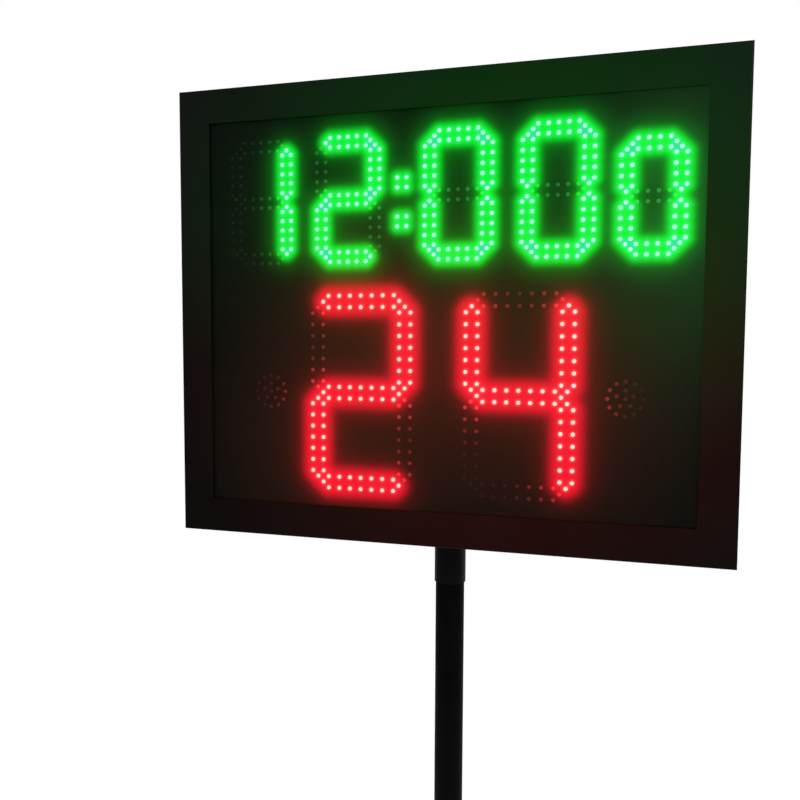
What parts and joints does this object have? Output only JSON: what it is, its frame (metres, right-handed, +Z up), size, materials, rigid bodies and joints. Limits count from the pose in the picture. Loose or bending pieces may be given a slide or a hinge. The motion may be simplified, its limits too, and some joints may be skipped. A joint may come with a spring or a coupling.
{
  "type": "shot clock",
  "caption": "Free-standing shot clock: a flat black lamp display with green game-time digits over large red shot digits, on a telescopic pole with a square base plate.",
  "frame": {"origin": "on the floor, under the axis of the pole, which is the middle of the base and of the footprint", "axes": "+Z up along the pole, the display faces -Y, +X to the right of someone who reads the display"},
  "size_m": [0.64, 0.45, 1.745],
  "materials": {
    "housing_coat": "satin black powder coat on aluminium sheet",
    "bare_aluminium": "mill finish",
    "tinted_acrylic": "smoked, gloss",
    "foam_gasket": "matt",
    "board_mask": "black solder mask",
    "mask_film": "matt black sheet",
    "red_lens": "diffused red",
    "green_lens": "diffused green",
    "green_board": "green solder mask",
    "black_nylon": "moulded, fine grain",
    "red_nylon": "moulded",
    "stand_coat": "satin black powder coat on steel",
    "black_rubber": "matt",
    "zinc_steel": "zinc plated",
    "brass": "satin",
    "tinned_brass": "nickel plated",
    "fuse_glass": "clear",
    "paper_cone": "pressed fibre",
    "grey_cable": "ribbed flat cable"
  },
  "bodies": {
    "stand": {"base_plate": "stand_coat", "rubber_feet": "black_rubber", "base_hub": "stand_coat", "base_fasteners": "zinc_steel", "lower_tube": "stand_coat", "pole_bush": "black_nylon", "clamp_collar": "black_nylon"},
    "collar_clamp": {"collar_knob": "black_nylon", "collar_knob_screw": "zinc_steel"},
    "pole": {"pole": "stand_coat", "pole_plug": "black_nylon", "pole_shoe": "black_nylon"},
    "head_clamp": {"head_knob": "black_nylon", "head_knob_screw": "zinc_steel"},
    "aerial_base": {"aerial_elbow": "black_nylon"},
    "aerial": {"aerial_whip": "black_rubber"},
    "rocker": {"switch_rocker": "red_nylon"},
    "fuse_cap": {"fuse_cap": "black_nylon"},
    "set_button": {"set_button": "black_nylon"},
    "test_button": {"test_button": "red_nylon"},
    "display": {"front_shell": "housing_coat", "rear_cover": "housing_coat", "window_pane": "tinted_acrylic", "window_gasket": "foam_gasket", "pane_strips": "bare_aluminium", "pane_fasteners": "zinc_steel", "housing_screws": "zinc_steel", "red_lamp_boards": "board_mask", "green_lamp_boards": "board_mask", "lamp_mask": "mask_film", "red_leds": "red_lens", "green_leds": "green_lens", "board_spacers": "brass", "board_screws": "zinc_steel", "chassis_plate": "bare_aluminium", "chassis_brackets": "bare_aluminium", "rear_spine": "bare_aluminium", "wall_inserts": "zinc_steel", "control_board": "green_board", "control_components": "black_nylon", "ribbon_cables": "grey_cable", "radio_receiver": "zinc_steel", "aerial_socket": "brass", "inner_leads": "black_rubber", "supply_case": "bare_aluminium", "supply_board": "green_board", "power_inlet": "black_nylon", "inlet_pins": "tinned_brass", "data_socket": "black_nylon", "fitting_screws": "zinc_steel", "switch_body": "black_nylon", "fuse_holder": "black_nylon", "fuse_link": "fuse_glass", "horn_body": "black_nylon", "horn_cone": "paper_cone", "horn_grille": "housing_coat", "pole_sleeve": "stand_coat", "sleeve_saddles": "stand_coat", "saddle_bolts": "zinc_steel", "sleeve_cap": "black_nylon"}
  },
  "joints": [
    {"name": "height_slide", "type": "slide", "parent": "stand", "child": "pole", "axis": [0, 0, 1], "range_m": [-0.3, 0.12]},
    {"name": "head_swivel", "type": "hinge", "parent": "pole", "child": "display", "pos_m": [0, 0, 1.155], "axis": [0, 0, 1], "range_deg": [-180, 180]},
    {"name": "head_clamp_turn", "type": "hinge", "parent": "display", "child": "head_clamp", "pos_m": [0, 0.0303, 1.36], "axis": [0, 1, 0], "range_deg": [0, 360]},
    {"name": "collar_clamp_turn", "type": "hinge", "parent": "stand", "child": "collar_clamp", "pos_m": [0.0383, 0, 0.814], "axis": [1, 0, 0], "range_deg": [0, 360]},
    {"name": "aerial_swivel", "type": "hinge", "parent": "display", "child": "aerial_base", "pos_m": [0.232, -0.0115, 1.598], "axis": [0, 1, 0], "range_deg": [-180, 180]},
    {"name": "aerial_fold", "type": "hinge", "parent": "aerial_base", "child": "aerial", "pos_m": [0.232, -0.0115, 1.598], "axis": [-1, 0, 0], "range_deg": [0, 90]},
    {"name": "power_rocker", "type": "hinge", "parent": "display", "child": "rocker", "pos_m": [0.244, -0.029, 1.274], "axis": [-1, 0, 0], "range_deg": [0, 18]},
    {"name": "fuse_cap_turn", "type": "hinge", "parent": "display", "child": "fuse_cap", "pos_m": [0.132, -0.023, 1.274], "axis": [0, 1, 0], "range_deg": [0, 90]},
    {"name": "set_button_press", "type": "slide", "parent": "display", "child": "set_button", "axis": [0, -1, 0], "range_m": [0, 0.0015], "stiffness_N_per_m": 400},
    {"name": "test_button_press", "type": "slide", "parent": "display", "child": "test_button", "axis": [0, -1, 0], "range_m": [0, 0.0015], "stiffness_N_per_m": 400}
  ]
}
